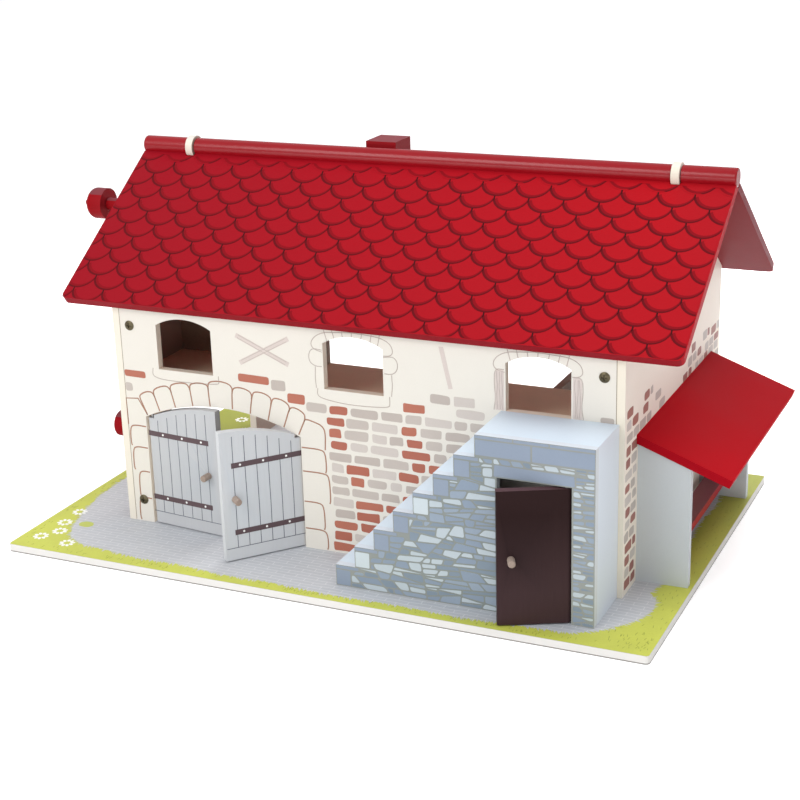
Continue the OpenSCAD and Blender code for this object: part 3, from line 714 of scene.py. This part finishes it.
def drawWindows():
    # lines are measured from the middle of their window; the sides' ones are drawn on both sides
    windows = {"sills": ((61.0, 119.0), (200.0, 117.2)), "arches": (200.0, 339.0), "stoned": 200.0,
               "timbered": 339.0, "joints": 7, "spread": 104, "half": 23.5, "crown": 27.0 * 1.05,
               "springing": 160.5, "lineWidth": 0.6,
               "archLeft": [(-24, 154.6), (-31, 156.6), (-33, 161), (-29, 166.5), (-22, 169.6), (-14, 170.4),
                            (-2, 171.4)],
               "archRight": [(24, 156.6), (30, 157.2), (32, 161), (29.5, 166.5), (23, 169.6), (14, 170.8),
                             (-2, 171.4)],
               "upperStone": [(24, 156), (32, 157), (35, 153), (34.5, 146.5), (30, 143.6), (24.4, 143.8)],
               "lowerStone": [(30, 143.4), (30.6, 135), (29.6, 127.4)],
               "postEdge": [(24.6, 156.5), (31.4, 156.6), (32, 146), (30.8, 136), (32.2, 127.2)],
               "post": (27.9, 3.2, 127.2, 156.2),
               "stray": [(266.2, 168.0), (269.8, 168.4), (276.3, 138.4), (273.2, 138.0)],
               "crossed": (("cross_timber_1", (105.7, 160.6), (148.4, 142.2), 0.03),
                           ("cross_timber_2", (108.0, 139.6), (149.0, 162.0), 0.06)),
               "crossHalf": 1.9, "grainWidth": 0.4, "seamWidth": 0.5}
    strokes = []
    rng = random.Random(8)

    def line(mid, points, side=1, rounds=2):
        placed = [(mid + side * u, v) for u, v in points]
        strokes.append((soften(wobble(placed, 0.2, rng), False, rounds), False))

    for mid, low in windows["sills"]:
        line(mid, [(-28.5, 127.2), (-29.4, 121.2), (-22, 119.2), (-6, low), (12, low + 0.4),
                   (27.6, low + 1.6), (28.2, 122.0), (28.0, 127.0)])
    for mid in windows["arches"]:
        for i in range(windows["joints"]):
            a = math.radians(windows["spread"] * ((i + 0.5) / windows["joints"] - 0.5))
            u = windows["crown"] * math.sin(a)
            foot = windows["springing"]
            if abs(u) < windows["half"]:
                foot = 161.6 + 6.3 * (1 - (u / windows["half"]) ** 2)
            line(mid, [(u, foot), (u * 1.1, min(foot + 8.6, 171.5))], rounds=0)
        line(mid, windows["archLeft"])
        line(mid, windows["archRight"])
    for side in (-1, 1):
        line(windows["stoned"], windows["upperStone"], side)
        line(windows["stoned"], windows["lowerStone"], side)
        line(windows["timbered"], windows["postEdge"], side)
    printStrokes("window_outlines", strokes, frontWall, ink["pale_outline"],
                 windows["lineWidth"])
    grain = []
    posts = []
    out, half, low, high = windows["post"]
    for side in (-1, 1):
        mid = windows["timbered"] + side * out
        posts.append(roundLoop(boxLoop(mid - half, low, mid + half, high), 0.8))
        for k in range(3):
            fibre = [(mid - 1.9 + 1.8 * k + rng.uniform(-0.6, 0.6), 128 + 5.4 * j) for j in range(6)]
            grain.append((soften(fibre, False), False))
    posts.append(wobble(windows["stray"], 0.2, rng))
    printShapes("wall_timbers", posts, frontWall, ink["timber_ink"], lift=0.03)
    for name, start, end, lift in windows["crossed"]:
        start = Vector(start)
        end = Vector(end)
        run = end - start
        side = Vector((-run.y, run.x)).normalized() * windows["crossHalf"]
        bar = [tuple(p) for p in (start - side, end - side, end + side, start + side)]
        printShapes(name, [bar], frontWall, ink["timber_ink"], lift=lift)
        for k in (-0.7, 0.6):
            fibre = [tuple(start + run * 0.04 + side * k), tuple(end - run * 0.05 + side * k)]
            grain.append((fibre, False))
    printStrokes("post_grain", grain, frontWall, ink["pale_outline"], windows["grainWidth"],
                 lift=0.1)
    seams = [([(u, 0.4), (u, wallHeight - 1.0)], False) for u in (board, barnLen - board)]
    printStrokes("wall_seams", seams, frontWall, ink["joint_line"], windows["seamWidth"])


drawFrontBricks()
drawGableBricks("right_gable_bricks", rightWall, 1)
drawGableBricks("left_gable_bricks", leftWall, -1)
drawWindows()
print("wall prints are drawn")


# ---- stair print ----

def clipHalf(shape, n, reach):
    # the part of a convex shape where n . p is at most the reach
    out = []
    for i in range(len(shape)):
        a = shape[i - 1]
        b = shape[i]
        da = n[0] * a[0] + n[1] * a[1] - reach
        db = n[0] * b[0] + n[1] * b[1] - reach
        if (da <= 0) != (db <= 0):
            t = da / (da - db)
            out.append((a[0] + (b[0] - a[0]) * t, a[1] + (b[1] - a[1]) * t))
        if db <= 0:
            out.append(b)
    return out


def areaOf(shape):
    return 0.5 * sum(shape[i - 1][0] * shape[i][1] - shape[i][0] * shape[i - 1][1] for i in range(len(shape)))


def drawnIn(shape, gap):
    out = shape
    for i in range(len(shape)):
        a = Vector(shape[i - 1])
        b = Vector(shape[i])
        if (b - a).length > 0.01:
            n = Vector((b.y - a.y, a.x - b.x)).normalized()
            out = clipHalf(out, n, n.dot(a) - gap)
    return [p for i, p in enumerate(out) if math.dist(p, out[i - 1]) > 0.7]


def breakUp(shape, rng, small, large, out):
    # crazy paving: a convex shape is cut across until its pieces are stones
    if len(shape) < 3 or areaOf(shape) < rng.uniform(small, large):
        out.append(shape)
        return
    us = [p[0] for p in shape]
    vs = [p[1] for p in shape]
    wide = max(us) - min(us)
    tall = max(vs) - min(vs)
    lean = rng.gauss(0, 5) if tall * 2.9 > wide else rng.choice((-1, 1)) * rng.uniform(42, 92)
    a = math.radians(lean)
    n = (-math.sin(a), math.cos(a))
    at = (min(us) + wide * rng.uniform(0.34, 0.66), min(vs) + tall * rng.uniform(0.3, 0.7))
    reach = n[0] * at[0] + n[1] * at[1]
    breakUp(clipHalf(shape, n, reach), rng, small, large, out)
    breakUp(clipHalf(shape, (-n[0], -n[1]), -reach), rng, small, large, out)


def cutAround(shape, stair, steps):
    # keeps a stone clear of the steps' blocks and of the lintel
    for edge, top in steps:
        if any(u < edge - 0.01 and v > top + 0.01 for u, v in shape):
            shape = max(clipHalf(shape, (-1, 0), -edge), clipHalf(shape, (0, 1), top), key=areaOf)
    left = stair["lintel"][0] - 0.5
    low = stair["lintel"][1]
    if any(u > left and v > low for u, v in shape):
        shape = max(clipHalf(shape, (1, 0), left), clipHalf(shape, (0, 1), low), key=areaOf)
    return shape


def drawStairStones():
    # stones are broken up until their areas lie between two sizes, in square millimetres
    stair = {"left": 205.3, "right": 396.2, "run": 15.28, "rise": 15.875, "steps": 7, "low": 0.3,
             "doorLeft": 327.8, "doorRight": 380.1, "lintel": (325.8, 99.3, 382.2, 107.4), "gap": 0.55,
             "top": 112.0, "size": (44, 150), "beside": (20, 52), "corner": (18, 40), "above": (30, 50),
             "least": 3, "round": (0.7, 1.9), "paleSteps": (1, 4),
             "big": ((312.9, 351.6), (352.9, 395.6)),
             "slabs": ((312.7, 338.9), (340.0, 364.0), (365.1, 395.8))}
    rng = random.Random(41)
    rise = stair["rise"]
    run = stair["run"]
    u0, v0, u1, v1 = stair["lintel"]
    right = stair["right"] - 0.3
    steps = []
    for k in range(stair["steps"] + 1):
        foot = stair["left"] + k * run
        steps.append((foot + 11.9, k * rise + 0.2))
        steps.append((foot + run + 2.8, (k + 1) * rise - 3.1))
    raw = []
    flight = boxLoop(stair["left"], stair["low"], stair["doorLeft"] - 0.4, stair["top"])
    breakUp(flight, rng, *stair["size"], raw)
    stones = [cutAround(shape, stair, steps) for shape in raw]
    for box, size in ((boxLoop(stair["doorRight"] + 0.6, stair["low"], right, 98.6), stair["beside"]),
                      (boxLoop(u1 + 0.4, 98.6, right, stair["top"]), stair["corner"]),
                      (boxLoop(u0 - 0.5, 107.6, u1 + 0.4, stair["top"]), stair["above"])):
        breakUp(box, rng, *size, stones)
    loops = []
    for shape in stones:
        shape = drawnIn(shape, stair["gap"]) if len(shape) > 2 and areaOf(shape) > stair["least"] else []
        if len(shape) > 2 and areaOf(shape) > stair["least"]:
            loops.append(roundLoop(shape, rng.uniform(*stair["round"])))
    printShapes("stair_rubble", loops, stairWall, ink["rubble_ink"])
    blocks = []
    pale = []
    for k in range(stair["steps"]):
        u = stair["left"] + k * run
        into = pale if k in stair["paleSteps"] else blocks
        into.append(roundLoop(boxLoop(u + 0.6, k * rise + 0.8, u + 11.3, (k + 1) * rise - 3.7), 0.7))
        blocks.append(boxLoop(u + 0.4, (k + 1) * rise - 2.6, u + run + 2.4, (k + 1) * rise - 0.5))
    blocks.append(roundLoop([(u0, v0), (u1, v0), (u1 - 0.5, v1 - 0.9), (u0 + 0.6, v1)], 0.8))
    blocks += [roundLoop(boxLoop(a, 112.9, b, 123.6), 0.6) for a, b in stair["big"]]
    blocks += [boxLoop(a, 124.7, b, 126.5) for a, b in stair["slabs"]]
    printShapes("stair_blocks", blocks, stairWall, ink["block_ink"])
    printShapes("stair_pale_blocks", pale, stairWall, ink["pale_block_ink"])


drawStairStones()
print("stair print is drawn")


# ---- door prints ----

def ring(u, v, radius, count):
    turns = [2 * math.pi * i / count for i in range(count)]
    return [(u + radius * math.cos(a), v + radius * math.sin(a)) for a in turns]


def drawDoor(name, sheet, body, side):
    # measured from the hinge; side is 1 where the door reaches to the right
    door = {"tops": (86.8, 90.3, 94.0, 96.4, 97.6, 98.2), "first": 6.7, "step": 9.05, "rail": 10.4,
            "lineWidth": 0.55, "reach": (-2.6, 60.6), "strap": (-2.4, 53.6), "strapTall": 4.1,
            "lows": (20.4, 72.5), "nails": (10.9, 28.9, 46.8), "nail": 0.85}
    lines = []
    for i, top in enumerate(door["tops"]):
        u = side * (door["first"] + door["step"] * i)
        lines.append(([(u, door["rail"]), (u + 0.15, 40), (u - 0.1, 70), (u, top - 1.2)], False))
    lines.append(([(side * u, door["rail"]) for u in door["reach"]], False))
    printStrokes(name + "_planks", lines, sheet, ink["plank_ink"], door["lineWidth"], body)
    straps = []
    dots = []
    u0, u1 = sorted(side * u for u in door["strap"])
    for low in door["lows"]:
        straps.append(boxLoop(u0, low, u1, low + door["strapTall"]))
        for u in door["nails"]:
            dots.append(ring(side * u, low + door["strapTall"] / 2, door["nail"], 12))
    printShapes(name + "_straps", straps, sheet, ink["strap_ink"], body, 0.07)
    printShapes(name + "_nails", dots, sheet, ink["white_ink"], body, 0.15)


drawDoor("left_door", leftLeaf, "left_leaf", 1)
drawDoor("right_door", rightLeaf, "right_leaf", -1)


# ---- yard print ----

def cornerArc(u, v, radius, start):
    turns = [math.radians(start + 15 * i) for i in range(7)]
    return [(u + radius * math.cos(a), v + radius * math.sin(a)) for a in turns]


def petalLoop(long, wide, count=10):
    turns = [2 * math.pi * i / count for i in range(count)]
    return [(long * math.cos(a), wide * math.sin(a)) for a in turns]


def drawYard():
    # the grass lies between the board's edge and the inner line, where blades stand along it
    yard = {"low": (-60.6, -74.6), "high": (440.6, 256.6), "corner": 2.4,
            "inner": [(417.0, 256.0), (416.5, 202.0), (418.5, 185.0), (416.6, 158.0), (415.7, 126.0),
                      (421.0, 76.0), (417.6, 29.0), (414.8, 15.4), (422.0, 6.2), (424.5, -9.2),
                      (420.1, -24.7), (409.9, -39.8), (400.5, -50.0), (384.0, -60.5), (340.0, -63.5),
                      (300.0, -66.0), (260.0, -64.5), (206.6, -66.1), (183.7, -64.5), (150.6, -63.1),
                      (118.5, -64.6), (82.0, -60.1), (48.4, -61.6), (13.9, -57.4), (-7.2, -55.5),
                      (-24.0, -46.0), (-33.0, -30.0), (-42.7, 1.4), (-48.8, 30.1), (-50.4, 61.7),
                      (-48.0, 120.0), (-40.0, 168.0), (-24.0, 200.0), (-6.0, 222.0), (-1.4, 256.0)],
            "bladeStart": (0.5, 2.0), "bladeTall": (0.8, 5.2), "bladeLean": 1.2, "bladeGap": (1.4, 3.2),
            "spot": [(-33, -22), (-30, -27), (-22, -27.5), (-19, -23), (-22, -18), (-29, -17.5)],
            "daisies": ((-44.9, -3.7), (-43.9, -25.5), (-37.7, -40.9), (-45.9, -54.1), (-19.1, -58.1),
                        (-30.0, 230.0)),
            "petals": 9, "petalOut": 4.4, "petalLong": 1.9, "petalWide": 1.25, "strays": 300,
            "patches": ((-50, 395, -73, -68), (-59, -52, -60, 250), (424, 438, -70, 250),
                        (402, 438, -72, -46)),
            "shares": (5, 3, 4, 2)}
    rng = random.Random(3)
    low = yard["low"]
    high = yard["high"]
    corner = yard["corner"]
    outer = [(low[0], high[1])] + cornerArc(low[0] + corner, low[1] + corner, corner, 180)
    outer += cornerArc(high[0] - corner, low[1] + corner, corner, 270) + [(high[0], high[1])]
    places = yard["inner"]
    inner = [(places[0][0], high[1])]
    for a, b in zip(places, places[1:]):
        a = Vector(a)
        b = Vector(b)
        along = (b - a).normalized()
        inside = Vector((along.y, -along.x))
        d = rng.uniform(*yard["bladeStart"])
        while d < (b - a).length:
            root = a + along * d
            tip = root + inside * -rng.uniform(*yard["bladeTall"])
            tip += along * rng.uniform(-yard["bladeLean"], yard["bladeLean"])
            inner += [tuple(root), tuple(tip)]
            d += rng.uniform(*yard["bladeGap"])
    inner.append((places[-1][0], high[1]))
    printShapes("grass_band", [outer + inner], ground, ink["grass_ink"])
    printShapes("grass_spot", [roundLoop(yard["spot"], 2.5)], ground, ink["spot_ink"])
    petals = []
    for u, v in yard["daisies"]:
        for k in range(yard["petals"]):
            a = k * 2 * math.pi / yard["petals"] + u
            along = Vector((math.cos(a), math.sin(a)))
            across = Vector((-along.y, along.x))
            center = Vector((u, v)) + along * yard["petalOut"]
            petals.append([tuple(center + along * x + across * y)
                           for x, y in petalLoop(yard["petalLong"], yard["petalWide"])])
    printShapes("daisies", petals, ground, ink["white_ink"], lift=0.14)
    blades = []
    for _ in range(yard["strays"]):
        u0, u1, v0, v1 = rng.choices(yard["patches"], yard["shares"])[0]
        u = rng.uniform(u0, u1)
        v = rng.uniform(v0, v1)
        tall = rng.uniform(1.5, 3.5)
        blades.append(([(u, v), (u + rng.uniform(-0.8, 0.8), v + tall)], False))
    printStrokes("grass_blades", blades, ground, ink["blade_ink"], 0.35, lift=0.1)


drawYard()
print("yard print is drawn")
